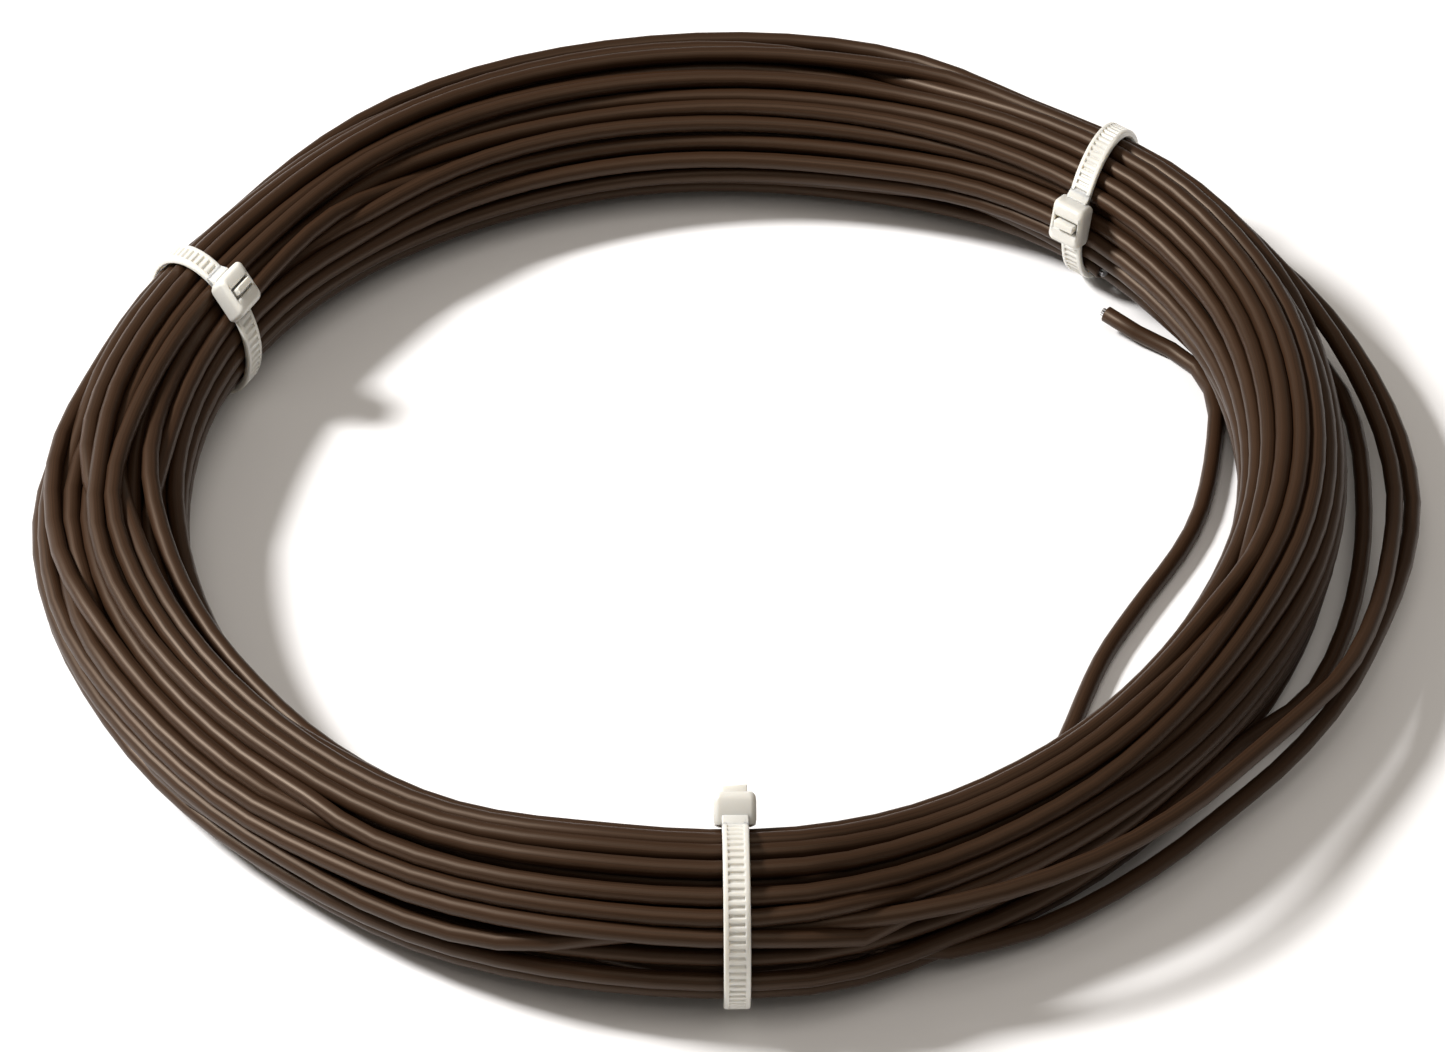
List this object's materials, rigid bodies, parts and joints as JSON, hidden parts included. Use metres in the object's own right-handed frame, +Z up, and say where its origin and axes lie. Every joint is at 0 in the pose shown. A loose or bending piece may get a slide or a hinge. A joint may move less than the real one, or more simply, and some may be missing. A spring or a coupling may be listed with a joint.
{
  "type": "coiled restrictor cable",
  "caption": "Round coil of thin steel cable in a dark brown plastic jacket, lying flat and bound with cable ties, with a few sprung-loose turns and bare cut ends.",
  "frame": {"origin": "under the middle of the coil, on the surface that it lies on", "axes": "+Z up, out of the flat coil; the coil lies in XY; the single tie opposite the other two is at -Y"},
  "size_m": [0.1984, 0.2084, 0.0248],
  "materials": {
    "jacket": "extruded, satin gloss",
    "steel_core": "stranded wire, cut clean",
    "nylon": "natural nylon, moulded, slightly see-through"
  },
  "bodies": {
    "coil": {"coil_body": "jacket", "inner_loose_turn": "jacket", "outer_loose_turn_low": "jacket", "outer_loose_turn_high": "jacket", "outer_loose_turn_near": "jacket", "inner_end_jacket": "jacket", "inner_end_core": "steel_core", "outer_end_jacket": "jacket", "outer_end_core": "steel_core"},
    "front_tie": {"tie_front": "nylon"},
    "left_tie": {"tie_left": "nylon"},
    "rear_tie": {"tie_rear": "nylon"}
  },
  "joints": [
    {"name": "front_tie_slide_round", "type": "hinge", "parent": "coil", "child": "front_tie", "pos_m": [-0.00077, -0.00305, 0], "axis": [0, 0, 1], "range_deg": [-6, 2]},
    {"name": "left_tie_slide_round", "type": "hinge", "parent": "coil", "child": "left_tie", "pos_m": [-0.00077, -0.00305, 0], "axis": [0, 0, 1], "range_deg": [-6, 6]},
    {"name": "rear_tie_slide_round", "type": "hinge", "parent": "coil", "child": "rear_tie", "pos_m": [-0.00077, -0.00305, 0], "axis": [0, 0, 1], "range_deg": [0, 6]}
  ]
}
